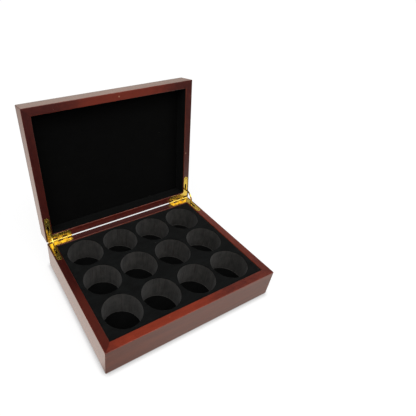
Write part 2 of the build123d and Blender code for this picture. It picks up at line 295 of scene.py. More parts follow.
    # The glue line of a mitre runs at 45 degrees into each corner and fades out within 0.3 mm
    away_x, away_y, _ = add("SeparateXYZ", {
        0: add("VectorMath", {0: place}, operation="ABSOLUTE"),
    }).outputs
    corner = (case_high.x - case_high.y) / MM
    offset = add("Math", {0: away_x, 1: away_y}, operation="SUBTRACT")
    offset = add("Math", {0: offset, 1: corner}, operation="SUBTRACT")
    offset = add("Math", {0: offset}, operation="ABSOLUTE")
    glue = add("MapRange", {"Value": offset, "From Min": 0.3, "From Max": 0.06, "To Max": 0.4})
    pore_depth = add("MapRange", {"Value": pores, "From Min": 0.56, "From Max": 0.74, "To Max": 0.35})
    marks = add("Math", {0: glue, 1: pore_depth}, operation="MAXIMUM")
    colour = add("Mix", {FACTOR: marks, COLOUR_A: colour, COLOUR_B: colours.pore_and_shade}, data_type="RGBA")

    # Small chips up to about 2 mm across, here and there on a rim, show the pale wood
    chips = add("TexVoronoi", {"Vector": place, "W": seed, "Scale": 1 / 14}, voronoi_dimensions="4D")
    chipped = add("MapRange", {
        "Value": chips.outputs["Distance"], "From Min": 0.09, "From Max": 0.05, "To Max": 0.6,
    })
    chipped = add("Math", {0: chipped, 1: on_rim}, operation="MULTIPLY")
    colour = add("Mix", {FACTOR: chipped, COLOUR_A: colour, COLOUR_B: colours.chip}, data_type="RGBA")

    # The fibres give the wood its relief. The lacquer over them has a faint orange peel 1.6 mm wide
    relief = add("Bump", {"Height": fibres, "Strength": 0.3, "Distance": 0.05 * MM})
    peel = add("TexNoise", {"Vector": place, "Scale": 1 / 1.6, "Detail": 1})
    skin = add("Bump", {"Height": peel, "Strength": 0.06, "Distance": 0.05 * MM})
    surface = add("BsdfPrincipled", {
        "Base Color": colour,
        "Roughness": add("MapRange", {
            "Value": fibres, "From Min": 0.3, "From Max": 0.7, "To Min": 0.36, "To Max": 0.5,
        }),
        "Normal": relief,
        "IOR": 1.5,
        "Specular IOR Level": 0.1,
        "Coat Weight": 1.0,
        "Coat Roughness": 0.26,
        "Coat IOR": 1.5,
        "Coat Normal": skin,
    })
    add("OutputMaterial", {"Surface": surface})
    return material


def polished_brass(name, painted_darkness):
    """Brass, stamped or drawn, polished, and sprayed with gold lacquer.

    The eye sees a warm yellow mirror with soft edges and faint polishing marks, painted shade in the corners,
    and brown patches that are painted dark reflections. Painted_darkness is how brown those patches are.
    """
    colours = bpy.context.scene.box_colours
    material, add = new_material(name)
    place, _ = place_when_closed(add, False)
    # Polishing marks are finer than a pixel, so they are drawn 0.6 mm wide
    marks = add("TexNoise", {
        "Vector": add("Mapping", {"Vector": place, "Scale": (1 / 0.6, 1 / 5, 1 / 5)}),
        "Scale": 1, "Detail": 3,
    })
    # Its patches are painted dark reflections in the colour, and also vary the gloss and the dents
    patch_noise = add("TexNoise", {"Vector": place, "Scale": 1 / 3.2, "Detail": 2})
    stained = add("MapRange", {"Value": patch_noise, "From Min": 0.52, "From Max": 0.72, "To Max": painted_darkness})
    # Painted shade in the corners, from occlusion within 0.8 mm
    corners = add("AmbientOcclusion", {"Distance": 0.8 * MM}, samples=8)
    painted_corner_shade = add("MapRange", {
        "Value": corners.outputs["AO"], "From Min": 0.72, "From Max": 0.35, "To Max": 0.85,
    })
    brown = add("Math", {0: stained, 1: painted_corner_shade}, operation="MAXIMUM")
    colour = add("Mix", {
        FACTOR: brown, COLOUR_A: colours.brass, COLOUR_B: colours.brass_painted_dark,
    }, data_type="RGBA")
    gloss = add("MapRange", {
        "Value": patch_noise, "From Min": 0.3, "From Max": 0.8, "To Min": 0.14, "To Max": 0.26,
    })
    soft_edge = add("Bevel", {"Radius": 0.25 * MM}, samples=4)
    polish = add("Bump", {
        "Height": marks, "Strength": 0.15, "Distance": 0.02 * MM, "Normal": soft_edge,
    })
    dents = add("Bump", {"Height": patch_noise, "Strength": 0.4, "Distance": 0.25 * MM, "Normal": polish})
    surface = add("BsdfPrincipled", {
        "Base Color": colour,
        "Metallic": 0.93,
        "Roughness": gloss,
        "Normal": dents,
    })
    add("OutputMaterial", {"Surface": surface})
    return material


def nickel_plate():
    """Sintered magnets under bright nickel plating: a grey mirror, a little cloudy."""
    material, add = new_material("nickel_plate")
    place, _ = place_when_closed(add, False)
    cloud = add("TexNoise", {"Vector": place, "Scale": 1 / 0.8, "Detail": 2})
    surface = add("BsdfPrincipled", {
        "Base Color": bpy.context.scene.box_colours.magnet,
        "Metallic": 1.0,
        "Roughness": add("MapRange", {"Value": cloud, "To Min": 0.2, "To Max": 0.35}),
    })
    add("OutputMaterial", {"Surface": surface})
    return material


def black_velvet(name, on_lid, brushed, cut_edge=0.0, painted_shade=0.0, bloom=0.07):
    """Flocked black velvet on a cotton backing.

    The eye sees almost no light face on, a faint blue-grey bloom at a slant, cloudy patches where the pile is
    brushed, and a few specks of lint. The pile is finer than a pixel, so it is drawn 0.35 mm wide.

    Brushed is how strong the patches are, cut_edge how much of the backing shows on upright faces,
    painted_shade how far the pile is darkened towards black as painted shade, and bloom the strength of
    the sheen.
    """
    colours = bpy.context.scene.box_colours
    material, add = new_material(name)
    place, normal = place_when_closed(add, on_lid)
    pile = add("TexNoise", {"Vector": place, "Scale": 1 / 0.35, "Detail": 2})
    strokes = add("TexNoise", {
        "Vector": add("Mapping", {"Vector": place, "Scale": (1 / 24, 1 / 11, 1 / 14)}),
        "Scale": 1, "Detail": 4, "Distortion": 1.2,
    })
    patches = add("MapRange", {"Value": strokes, "From Min": 0.38, "From Max": 0.7, "To Max": brushed})
    fuzz = add("MapRange", {
        "Value": pile, "From Min": 0.2, "From Max": 0.8, "To Min": -0.2, "To Max": 0.3,
    })
    tone = add("Math", {0: patches, 1: fuzz}, operation="ADD", use_clamp=True)
    colour = add("Mix", {
        FACTOR: tone, COLOUR_A: colours.velvet, COLOUR_B: colours.velvet_brushed,
    }, data_type="RGBA")
    # Painted shade: the pile darkened where the velvet lies in shade
    colour = add("Mix", {FACTOR: painted_shade, COLOUR_A: colour, COLOUR_B: BLACK}, data_type="RGBA")
    sideways = add("Math", {0: add("SeparateXYZ", {0: normal}).outputs[2]}, operation="ABSOLUTE")
    edge = add("MapRange", {"Value": sideways, "From Min": 0.35, "From Max": 0.1, "To Max": cut_edge})
    colour = add("Mix", {FACTOR: edge, COLOUR_A: colour, COLOUR_B: colours.velvet_backing}, data_type="RGBA")
    specks = add("TexVoronoi", {"Vector": place, "Scale": 1 / 17})
    lint = add("MapRange", {
        "Value": specks.outputs["Distance"], "From Min": 0.018, "From Max": 0.008, "To Max": 0.55,
    })
    colour = add("Mix", {FACTOR: lint, COLOUR_A: colour, COLOUR_B: colours.lint}, data_type="RGBA")
    surface = add("BsdfPrincipled", {
        "Base Color": colour,
        "Roughness": 0.95,
        "Specular IOR Level": 0.1,
        "Normal": add("Bump", {"Height": pile, "Strength": 0.6, "Distance": 0.25 * MM}),
        "Sheen Weight": bloom,
        "Sheen Roughness": 0.45,
        "Sheen Tint": (0.92, 0.95, 0.93, 1.0),
    })
    add("OutputMaterial", {"Surface": surface})
    return material


def cut_foam():
    """Polyethylene foam, die-cut with a long knife.

    The eye sees a dry, warm dark grey with fine cells, upright streaks from the knife, painted shade in the
    hollows of the cells and along the knife's creases, and a paler frayed line at the bottom of the cut.
    """
    colours = bpy.context.scene.box_colours
    material, add = new_material("cut_foam")
    place, _ = place_when_closed(add, False)
    cells = add("TexNoise", {"Vector": place, "Scale": 1 / 0.5, "Detail": 3})
    streaks = add("TexNoise", {
        "Vector": add("Mapping", {"Vector": place, "Scale": (1 / 1.3, 1 / 1.3, 1 / 30)}),
        "Scale": 1, "Detail": 3,
    })
    clouds = add("TexNoise", {
        "Vector": add("Mapping", {"Vector": place, "Scale": (1 / 6, 1 / 6, 1 / 11)}),
        "Scale": 1, "Detail": 4,
    })
    cloudy = add("Math", {0: clouds, 1: 0.7}, operation="MULTIPLY")
    figure = add("Math", {0: streaks, 1: 0.3, 2: cloudy}, operation="MULTIPLY_ADD")
    tone = add("MapRange", {"Value": figure, "From Min": 0.36, "From Max": 0.64})
    colour = add("Mix", {
        FACTOR: tone, COLOUR_A: colours.foam, COLOUR_B: colours.foam_light,
    }, data_type="RGBA")
    # Painted shade in the hollows of the cells and along the knife's creases
    shaded_pits = add("MapRange", {"Value": cells, "From Min": 0.5, "From Max": 0.8, "To Max": 0.35})
    shaded_creases = add("MapRange", {"Value": streaks, "From Min": 0.41, "From Max": 0.33, "To Max": 0.6})
    dark = add("Math", {0: shaded_pits, 1: shaded_creases}, operation="MAXIMUM")
    colour = add("Mix", {FACTOR: dark, COLOUR_A: colour, COLOUR_B: colours.pore_and_shade}, data_type="RGBA")
    # The frayed line ends between 0.4 and 1.2 mm above the foam's foot
    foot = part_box("foam_insert")[0].z / MM
    frayed = add("MapRange", {
        "Value": add("SeparateXYZ", {0: place}).outputs[2],
        "From Min": foot + 1.2, "From Max": foot + 0.4, "To Max": 0.8,
    })
    colour = add("Mix", {
        FACTOR: frayed, COLOUR_A: colour, COLOUR_B: colours.velvet_backing,
    }, data_type="RGBA")
    relief = add("Bump", {"Height": cells, "Strength": 0.7, "Distance": 0.2 * MM})
    surface = add("BsdfPrincipled", {
        "Base Color": colour,
        "Roughness": 0.9,
        "Specular IOR Level": 0.2,
        "Normal": add("Bump", {
            "Height": streaks, "Strength": 0.5, "Distance": 0.3 * MM, "Normal": relief,
        }),
        "Sheen Weight": 0.1,
        "Sheen Roughness": 0.6,
    })
    add("OutputMaterial", {"Surface": surface})
    return material


# Meshes

def grid_faces(rows, columns, wrap):
    """Quads between neighbouring points of a grid, numbered row by row. With wrap the last column meets the
    first."""
    across = columns if wrap else columns - 1
    row, column = np.meshgrid(np.arange(rows - 1), np.arange(across), indexing="ij")
    following = (column + 1) % columns
    corners = (row * columns + column, row * columns + following,
               (row + 1) * columns + following, (row + 1) * columns + column)
    return np.stack(corners, axis=-1).reshape(-1, 4)


def make_piece(name, patches, material, body):
    """One mesh from patches of (points, faces), with touching points merged and its faces turned outwards."""
    points = np.concatenate([patch[0].reshape(-1, 3) for patch in patches])
    starts = np.cumsum([0] + [patch[0].size // 3 for patch in patches[:-1]])
    faces = np.concatenate([patch[1] + start for patch, start in zip(patches, starts)])
    mesh = bpy.data.meshes.new(name)
    mesh.from_pydata(points.tolist(), [], faces.tolist())
    shape = bmesh.new()
    shape.from_mesh(mesh)
    bmesh.ops.remove_doubles(shape, verts=shape.verts, dist=MERGE_DISTANCE)
    bmesh.ops.recalc_face_normals(shape, faces=shape.faces)
    shape.to_mesh(mesh)
    shape.free()
    mesh.polygons.foreach_set("use_smooth", np.ones(len(mesh.polygons), bool))
    mesh.set_sharp_from_angle(angle=SHARP_ANGLE)
    mesh.materials.append(material)
    piece = bpy.data.objects.new(name, mesh)
    bpy.context.scene.collection.objects.link(piece)
    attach(piece, body)
    return piece


def about_hinge(points, angle):
    """Points turned about the hinge axis. Turned by lid_open_angle, the open lid is closed."""
    cosine, sine = math.cos(angle), math.sin(angle)
    turn = np.array([[1, 0, 0], [0, cosine, -sine], [0, sine, cosine]])
    return (points - hinge_axis) @ turn.T + hinge_axis


def wavy(x, y, length, seed):
    """A smooth unevenness between -1 and 1: three sine waves of about the given length that cross."""
    first = np.sin(2 * np.pi * (x * 0.9 + y * 0.35) / length + seed)
    second = np.sin(2 * np.pi * (y * 0.8 - x * 0.3) / (0.77 * length) + 2.1 * seed)
    third = np.sin(2 * np.pi * (x * 0.5 - y * 0.6) / (1.31 * length) + 3.7 * seed)
    return (first + second + third) / 3


def board_steps(length, edge, count):
    """Places along a board: six points on the rounding at each end, and even steps between them."""
    curve = edge * (1 - np.cos(np.linspace(0, np.pi / 2, 6)))
    middle = np.linspace(edge, length - edge, count)
    return np.concatenate([curve[:-1], middle, (length - curve[::-1])[1:]])


def board(size, edge, crown, seed):
    """A velvet-covered board, as closed patches with its lowest corner at the origin.

    Its face is the thickness less a quarter circle's drop within edge of each side, plus a low crown that is
    the product of two half sine waves, plus a slight waviness. A skirt joins it to the flat back.
    """
    width, depth, thickness = size
    spacing = 4 * MM
    wave_length = 38 * MM
    x = board_steps(width, edge, max(3, int(width / spacing)))
    y = board_steps(depth, edge, max(3, int(depth / spacing)))
    grid_x, grid_y = np.meshgrid(x, y, indexing="ij")
    to_side = np.minimum(np.minimum(grid_x, width - grid_x), np.minimum(grid_y, depth - grid_y))
    inside = np.clip(edge - to_side, 0, edge)
    drop = edge - np.sqrt(np.maximum(edge ** 2 - inside ** 2, 0))
    rise = crown * np.sin(np.pi * grid_x / width) * np.sin(np.pi * grid_y / depth)
    ripple = 0.35 * crown * wavy(grid_x, grid_y, wave_length, seed) * np.clip(to_side / (4 * edge), 0, 1)
    face = np.stack([grid_x, grid_y, thickness - crown - drop + rise + ripple], axis=-1)
    back = face * (1, 1, 0)
    faces = grid_faces(len(x), len(y), False)
    ring = np.concatenate([face[:, 0], face[-1, 1:], face[-2::-1, -1], face[0, -2:0:-1]])
    skirt = np.stack([ring, ring * (1, 1, 0)])
    return [(face, faces), (back, faces[:, ::-1]), (skirt, grid_faces(2, len(ring), True))]


def placed(patches, place):
    """Patches with every point taken through a function."""
    return [(place(points), faces) for points, faces in patches]


def well_cells(sizes):
    """The middle of each well, with the left, right, front and rear of the rectangle around it. Together the
    rectangles fill the insert."""
    low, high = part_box("foam_insert")
    pitch = sizes.well_pitch
    columns = (np.arange(sizes.well_columns) - (sizes.well_columns - 1) / 2) * pitch
    rows = (np.arange(sizes.well_rows) - (sizes.well_rows - 1) / 2) * pitch
    edges_x = np.concatenate([[low.x], (columns[1:] + columns[:-1]) / 2, [high.x]])
    edges_y = np.concatenate([[low.y], (rows[1:] + rows[:-1]) / 2, [high.y]])
    return [
        (x, y, edges_x[i], edges_x[i + 1], edges_y[j], edges_y[j + 1])
        for i, x in enumerate(columns)
        for j, y in enumerate(rows)
    ]


def well_patch(cell, rings):
    """The surface around one well, through rings of (share, radius, height). Share 0 is a circle of that
    radius, share 1 is the rectangle around the well, and between them the two are mixed."""
    x, y, left, right, front, rear = cell
    corner_x = np.array([left, right, right, left, left])
    corner_y = np.array([front, front, rear, rear, front])
    outer = np.stack([np.interp(WELL_TURNS, range(5), corner) for corner in (corner_x, corner_y)], axis=-1)
    direction = np.stack([np.cos(WELL_ANGLES), np.sin(WELL_ANGLES)], axis=-1)
    grid = []
    for share, radius, height in rings:
        radii = np.broadcast_to(radius, WELL_ANGLES.shape)
        circle = np.array([x, y]) + direction * radii[:, None]
        flat = (1 - share) * circle + share * outer
        grid.append(np.concatenate([flat, np.full((len(flat), 1), height)], axis=1))
    return np.stack(grid), grid_faces(len(rings), len(WELL_ANGLES), True)


def perimeter(cells, low, high):
    """The upright skirt around the whole insert, through the same points as the wells' rectangles."""
    left = min(cell[2] for cell in cells)
    right = max(cell[3] for cell in cells)
    front = min(cell[4] for cell in cells)
    rear = max(cell[5] for cell in cells)
    share = np.linspace(0, 1, STEPS_A_SIDE + 1)
    faces = grid_faces(2, STEPS_A_SIDE + 1, False)
    patches = []
    for _, _, x0, x1, y0, y1 in cells:
        x = x0 + (x1 - x0) * share
        y = y0 + (y1 - y0) * share
        sides = (
            (x0 == left, left, y), (x1 == right, right, y), (y0 == front, x, front), (y1 == rear, x, rear),
        )
        for outermost, line_x, line_y in sides:
            if outermost:
                strip = [np.stack(np.broadcast_arrays(line_x, line_y, z), axis=-1) for z in (low, high)]
                patches.append((np.stack(strip), faces))
    return patches


class BOX_OT_foam_insert(bpy.types.Operator):
    """Make the foam block with its twelve wells.

    A well's wall is a circle whose radius wanders by a few sine waves of the angle, with narrow creases
    where the knife stopped, and it bulges in by half a sine wave between its top and bottom.
    """

    bl_idname = "display_box.foam_insert"
    bl_label = "Foam Insert"

    def execute(self, context):
        sizes = context.scene.box_sizes
        low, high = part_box("foam_insert")
        radius = sizes.well_diameter / 2
        crease_angle = 0.035
        levels = np.linspace(1, 0, 22)
        cells = well_cells(sizes)
        random = np.random.default_rng(12)
        patches = []
        for cell in cells:
            phase = random.uniform(0, 2 * np.pi, 4)
            creases = random.uniform(0, 2 * np.pi, 3)
            wander = np.sin(2 * WELL_ANGLES + phase[0]) + 0.6 * np.sin(5 * WELL_ANGLES + phase[1])
            wander = wander + 0.35 * np.sin(11 * WELL_ANGLES + phase[2])
            crease = sum(
                np.exp(-((np.angle(np.exp(1j * (WELL_ANGLES - at))) / crease_angle) ** 2)) for at in creases
            )
            # The top, which the velvet covers, then the wall from its top down, then the underside
            rings = [
                (1.0, radius, high.z), (0.5, radius + 0.3 * MM, high.z), (0.12, radius + 0.2 * MM, high.z),
            ]
            for level in levels:
                bulge = -0.8 * np.sin(np.pi * level) + 0.15 * np.sin(9 * level + phase[3])
                flare = 0.5 * np.exp(-(level / 0.03) ** 2)
                wall = radius + sizes.wall_wobble * (0.35 * wander + bulge + flare)
                wall = wall + sizes.crease_depth * crease
                rings.append((0.0, wall, low.z + (high.z - low.z) * level))
            rings += [(0.5, radius, low.z), (1.0, radius, low.z)]
            patches.append(well_patch(cell, rings))
        patches += perimeter(cells, low.z, high.z)
        foam = make_piece("foam_block", patches, cut_foam(), "base")
        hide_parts("foam_insert")
        return {"FINISHED"}


class BOX_OT_velvet_cover(bpy.types.Operator):
    """Make the velvet sheet glued over the foam.

    Its top dips by a quarter circle at each well's mouth and by a bell curve at the insert's sides, and lies
    a little wavy between them. Its cut edge goes straight down to the foam.
    """

    bl_idname = "display_box.velvet_cover"
    bl_label = "Velvet Cover"

    def execute(self, context):
        sizes = context.scene.box_sizes
        low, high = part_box("insert_velvet_top")
        radius = sizes.well_diameter / 2
        lip = sizes.velvet_lip
        side_drop = 0.35 * MM
        side_reach = 0.9 * MM
        wave_height = 0.07 * MM
        wave_length = 31 * MM
        cells = well_cells(sizes)
        shares = (1.0, 0.9, 0.75, 0.55, 0.35, 0.2, 0.1, 0.04)
        bends = np.linspace(0, np.pi / 2, 7)
        rings = [(1.0, radius, low.z), (0.0, radius, low.z)]
        rings += [
            (0.0, radius + lip * (1 - np.sin(bend)), high.z - lip * (1 - np.cos(bend)))
            for bend in bends[::-1]
        ]
        rings += [(share, radius + lip, high.z) for share in shares[::-1]]
        patches = [well_patch(cell, rings) for cell in cells]
        patches += perimeter(cells, low.z, high.z)

        def settle(points):
            """Lower the top near the insert's sides and give it a slight waviness."""
            x, y, z = np.moveaxis(points, -1, 0)
            to_side = np.minimum(np.minimum(x - low.x, high.x - x), np.minimum(y - low.y, high.y - y))
            top = np.clip((z - low.z) / (high.z - low.z), 0, 1)
            drop = side_drop * np.exp(-((to_side / side_reach) ** 2))
            wave = wave_height * wavy(x, y, wave_length, 4)
            return np.stack([x, y, z - top * (drop - wave + wave_height)], axis=-1)

        # The insert's velvet is darkened a little as painted shade
        velvet = black_velvet("insert_velvet", False, 0.4, cut_edge=1.0, painted_shade=0.12)
        cover = make_piece("velvet_cover", placed(patches, settle), velvet, "base")
        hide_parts("insert_velvet_top")
        return {"FINISHED"}


class BOX_OT_base_linings(bpy.types.Operator):
    """Make the velvet floor under the wells and the felt under the box, each as a thin board."""

    bl_idname = "display_box.base_linings"
    bl_label = "Base Linings"

    def execute(self, context):
        sizes = context.scene.box_sizes
        low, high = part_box("base_floor_lining")
        size = np.array(high) - np.array(low)
        patches = board(size, sizes.board_edge, sizes.board_crown, 3)
        # The well floor's velvet is darkened by half as painted shade
        floor = make_piece("well_floor_velvet", placed(patches, lambda points: points + np.array(low)),
                           black_velvet("well_floor_pile", False, 0.2, painted_shade=0.5, bloom=0.02), "base")
        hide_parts("base_floor_lining")

        low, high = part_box("base_bottom_felt")
        size = np.array(high) - np.array(low)
        patches = board(size, 0.4 * MM, 0.0, 5)
        turned = placed(patches, lambda points: points * (1, 1, -1) + np.array([low.x, low.y, high.z]))
        felt = make_piece("underside_felt", turned, black_velvet("pressed_felt", False, 0.6), "base")
        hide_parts("base_bottom_felt")
        return {"FINISHED"}


class BOX_OT_lid_linings(bpy.types.Operator):
    """Make the velvet-covered boards inside the lid: the large panel and a strip along each wall.

    Each is worked out for the closed lid and then turned open about the hinge axis.
    """

    bl_idname = "display_box.lid_linings"
    bl_label = "Lid Linings"

    def execute(self, context):
        sizes = context.scene.box_sizes
        # Both lid velvets are darkened as painted shade, the panel most
        panel_velvet = black_velvet("lid_panel_velvet", True, 0.35, painted_shade=0.85, bloom=0.01)
        strip_velvet = black_velvet("lid_strip_velvet", True, 0.35, painted_shade=0.55, bloom=0.02)
        closed = {
            name: self.closed_box(name)
            for name in ("lid_lining_panel", "lid_front_lining", "lid_back_lining",
                         "lid_left_lining", "lid_right_lining")
        }
        for name, (low, high) in closed.items():
            size = high - low
            if name == "lid_lining_panel":
                order = (0, 1, 2)
                place = self.facing_down(low, high)
            elif "front" in name or "back" in name:
                order = (0, 2, 1)
                place = self.upright(low, high, 1, "front" in name)
            else:
                order = (1, 2, 0)
                place = self.upright(low, high, 0, "left" in name)
            board_size = [size[index] for index in order]
            edge = min(sizes.board_edge, 0.8 * board_size[2])
            patches = board(board_size, edge, sizes.board_crown, len(name))
            patches = placed(patches, lambda points: about_hinge(place(points), -lid_open_angle))
            velvet = panel_velvet if name == "lid_lining_panel" else strip_velvet
            piece = make_piece(name.replace("lining", "velvet"), patches, velvet, "lid")
            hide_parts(name)
        return {"FINISHED"}

    @staticmethod
    def closed_box(name):
        """A lid node's lowest and highest corners with the lid closed."""
        mesh = frame["nodes"][name].data
        points = np.empty(3 * len(mesh.vertices))
        mesh.vertices.foreach_get("co", points)
        points = about_hinge(points.reshape(-1, 3), lid_open_angle)
        return points.min(axis=0), points.max(axis=0)

    @staticmethod
    def facing_down(low, high):
        """The panel's face looks down into the closed box."""
        return lambda points: points * (1, 1, -1) + np.array([low[0], low[1], high[2]])

    @staticmethod
    def upright(low, high, across, at_low):
        """A strip whose face looks inwards across axis 0 or 1, from its low or its high side."""
        def place(points):
            along, up, out = np.moveaxis(points, -1, 0)
            thin = low[across] + out if at_low else high[across] - out
            run = low[1 - across] + along
            pair = (thin, run) if across == 0 else (run, thin)
            return np.stack([*pair, low[2] + up], axis=-1)
        return place


# Finishes of the CAD nodes

def finish_nodes(names, material):
    """Give CAD nodes a finish."""
    for name in names:
        node = frame["nodes"][name]
        if not node.material_slots:
            node.data.materials.append(material)
        node.material_slots[0].material = material


class BOX_OT_wood(bpy.types.Operator):
    """Finish the rails, the lid's top board, the bottom board and the magnets' plugs in stained wood"""

    bl_idname = "display_box.wood"
    bl_label = "Stained Wood"

    def execute(self, context):
        # Depth darkens a rail's rim partly as deeper stain, partly as painted shade; pale and
        # painted_warm_light paint light on outer faces
        finish_nodes(["base_front_wall", "base_magnet_plugs"],
                     stained_wood("base_front_rail", "X", False, 1, warm_rim=0.45, warm_at=-40))
        finish_nodes(["base_back_wall", "base_bottom_panel"],
                     stained_wood("base_rear_rail", "X", False, 22, depth=0.75))
        finish_nodes(["base_left_wall"],
                     stained_wood("base_left_rail", "Y", False, 31, depth=0.8, pale=0.4, warm_rim=0.12,
                                  warm_at=-70))
        finish_nodes(["base_right_wall"],
                     stained_wood("base_right_rail", "Y", False, 39, depth=0.1, warm_rim=0.12, warm_at=10))
        finish_nodes(["lid_front_wall", "lid_magnet_plugs"],
                     stained_wood("lid_front_rail", "X", True, 52, depth=0.65, pale=0.3, warm_rim=0.27,
                                  painted_warm_light=0.05, warm_at=10))
        finish_nodes(["lid_back_wall"], stained_wood("lid_rear_rail", "X", True, 63, depth=0.45))
        finish_nodes(["lid_left_wall"], stained_wood("lid_left_rail", "Y", True, 73, depth=0.75, pale=0.6))
        finish_nodes(["lid_right_wall"], stained_wood("lid_right_rail", "Y", True, 79, depth=0.65))
        finish_nodes(["lid_top_panel"], stained_wood("lid_veneer", "X", True, 94))
        return {"FINISHED"}


class BOX_OT_hardware(bpy.types.Operator):
    """Finish the hinges, their pins, stays and screws in polished brass, and the magnets in nickel"""

    bl_idname = "display_box.hardware"
    bl_label = "Hardware"

    def execute(self, context):
        leaves = [name for name in frame["nodes"] if "hinge_leaf" in name or "hinge_pin" in name]
        screws = [name for name in frame["nodes"] if "screws" in name]
        # The second number sets how brown the painted dark patches are
        finish_nodes(leaves, polished_brass("stamped_brass", 0.3))
        finish_nodes(["left_stay", "right_stay"], polished_brass("stay_brass", 0.1))
        finish_nodes(screws, polished_brass("screw_brass", 0.9))
        finish_nodes(["base_closure_magnets", "lid_closure_magnets"], nickel_plate())
        return {"FINISHED"}


# The stage

def white_floor():
    """Matt white studio paper, which looks white to the camera and keeps the box's soft shadow.

    Reflections see it dimmed by a loss, a painted shade where 0 leaves it white and 1 makes it black. Places
    are in metres, to the right and to the rear of the box's middle.
    """
    material, add = new_material("white_paper")
    ray = add("LightPath")
    mirrored = add("Math", {
        0: ray.outputs["Is Glossy Ray"], 1: ray.outputs["Is Transmission Ray"],
    }, operation="MAXIMUM")
    seen = add("Math", {0: mirrored, 1: ray.outputs["Is Camera Ray"]}, operation="MAXIMUM")
    place = add("TexCoord").outputs["Object"]
    to_right, to_rear, _ = add("SeparateXYZ", {0: place}).outputs

    # At the box's foot, in its own shadow, the loss is 0.52, or 0.68 at the left end. At 0.13 m before the
    # middle it is 0.25 less
    along_front = add("MapRange", {
        "Value": to_right, "From Min": -0.11, "From Max": -0.02, "To Min": 0.6, "To Max": 0.44,
    })
    from_foot = add("MapRange", {
        "Value": to_rear, "From Min": -0.09, "From Max": -0.13, "To Min": -0.08, "To Max": 0.17,
    })
    near_loss = add("Math", {0: along_front, 1: from_foot}, operation="SUBTRACT")
    # From 0.18 m before the middle on it is 1, or 0.84 far to the right
    nearness = add("MapRange", {"Value": to_rear, "From Min": -0.18, "From Max": -0.145})
    far_loss = add("MapRange", {
        "Value": to_right, "From Min": 0.13, "From Max": 0.3, "To Min": 1.0, "To Max": 0.84,
    })
    before = add("Mix", {FACTOR: nearness, NUMBER_A: far_loss, NUMBER_B: near_loss})
    # All of that ends at the line of the box's front
    past_front = add("MapRange", {
        "Value": to_rear, "From Min": -0.084, "From Max": -0.07, "To Min": 1, "To Max": 0,
    })
    before = add("Math", {0: before, 1: past_front}, operation="MULTIPLY")
    # Behind the box the loss grows over a metre: to 0.9 at the left, 0.3 at the far right and 0.08 between
    bearing = add("Math", {0: to_right, 1: to_rear}, operation="DIVIDE")
    left_loss = add("MapRange", {"Value": bearing, "From Min": 0.1, "From Max": -0.2, "To Max": 0.9})
    right_loss = add("MapRange", {
        "Value": bearing, "From Min": 0.5, "From Max": 0.8, "To Min": 0.08, "To Max": 0.3,
    })
    behind = add("MapRange", {"Value": to_rear, "From Min": 0.1, "From Max": 1.1})
    side_loss = add("Math", {0: left_loss, 1: right_loss}, operation="MAXIMUM")
    behind = add("Math", {0: behind, 1: side_loss}, operation="MULTIPLY")
    loss = add("Math", {0: before, 1: behind}, operation="MAXIMUM")
    loss = add("Math", {0: mirrored, 1: loss}, operation="MULTIPLY")

    # Close round the box the lamps light 0.3 of what is seen, and half a metre away none. The rest glows, a
    # little brighter near the box than far from it
    distance = add("VectorMath", {0: place}, operation="LENGTH").outputs["Value"]
    glowing = add("MapRange", {
        "Value": distance, "From Min": 0.15, "From Max": 0.5, "To Min": 0.7, "To Max": 1.0,
    })
    brightness = add("MapRange", {
        "Value": glowing, "From Min": 0.5, "From Max": 1.0, "To Min": 1.32, "To Max": 1.02,
    })
    paper = add("BsdfDiffuse", {
        "Color": add("Mix", {
            FACTOR: loss, COLOUR_A: linear("#EBEBEB"), COLOUR_B: BLACK,
        }, data_type="RGBA"),
    })
    # Lit by warm lamps, the paper is a little warm in reflections, while the camera was set to see it white.
    # The camera alone sees a painted shadow, a dark line where the box touches the paper
    tint = add("Mix", {FACTOR: mirrored, COLOUR_A: WHITE, COLOUR_B: linear("#FFF6EC")}, data_type="RGBA")
    glow_colour = add("Mix", {FACTOR: loss, COLOUR_A: tint, COLOUR_B: BLACK}, data_type="RGBA")
    painted_contact_shadow = add("AmbientOcclusion", {"Color": glow_colour, "Distance": 6 * MM}, samples=12).outputs["Color"]
    glow_colour = add("Mix", {FACTOR: mirrored, COLOUR_A: painted_contact_shadow, COLOUR_B: glow_colour}, data_type="RGBA")
    # Reflections see the glow 0.07 brighter, as painted light
    brightness = add("Math", {0: mirrored, 1: 0.07, 2: brightness}, operation="MULTIPLY_ADD")
    glow = add("Emission", {"Color": glow_colour, "Strength": brightness})
    share = add("Math", {0: seen, 1: glowing}, operation="MULTIPLY")
    add("OutputMaterial", {"Surface": add("MixShader", {0: share, 1: paper, 2: glow})})
    return material


def soft_light(name, place, size, power):
    """A large rectangular lamp at a place in metres, turned to face the middle of the case."""
    lamp = bpy.data.lights.new(name, "AREA")
    lamp.shape = "RECTANGLE"
    lamp.size, lamp.size_y = size
    lamp.energy = power
    light = bpy.data.objects.new(name, lamp)
    bpy.context.scene.collection.objects.link(light)
    light.location = place
    target = Vector((0, 0, 0.05))
    light.rotation_euler = (target - Vector(place)).to_track_quat("-Z", "Y").to_euler()


